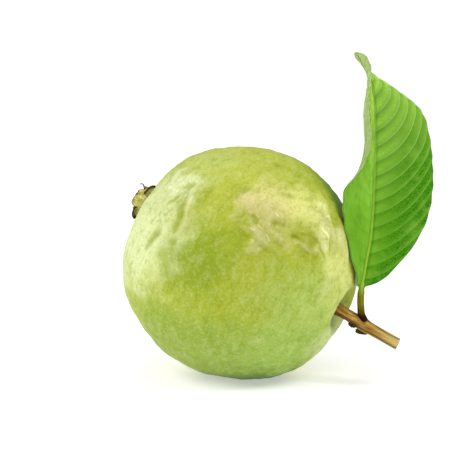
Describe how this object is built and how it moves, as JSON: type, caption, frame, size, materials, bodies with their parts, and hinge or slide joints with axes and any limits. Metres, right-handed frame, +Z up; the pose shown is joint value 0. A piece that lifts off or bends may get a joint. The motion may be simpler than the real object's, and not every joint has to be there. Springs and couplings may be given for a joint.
{
  "type": "guava",
  "caption": "whole green guava with dried calyx, a cut piece of twig and a folded leaf, resting on a small flat spot",
  "frame": {"origin": "the middle of the small flat spot that the fruit rests on", "axes": "+Z up; the cut end of the twig points to +X and a little to -Y; the dried calyx is on the -X side; the leaf's upper face looks to -Y"},
  "size_m": [0.1063, 0.0815, 0.1098],
  "materials": {
    "skin": "satin",
    "calyx": "matte",
    "dry_tissue": "matte",
    "bark": "satin",
    "foliage": "satin"
  },
  "bodies": {
    "root": {"fruit": "skin", "calyx_ring": "calyx", "sepal_1": "calyx", "sepal_2": "calyx", "sepal_3": "calyx", "sepal_4": "calyx", "sepal_5": "calyx", "style_remnant": "dry_tissue", "twig": "bark", "leaf": "foliage", "leaf_stub": "dry_tissue", "axillary_bud": "dry_tissue"}
  },
  "joints": []
}
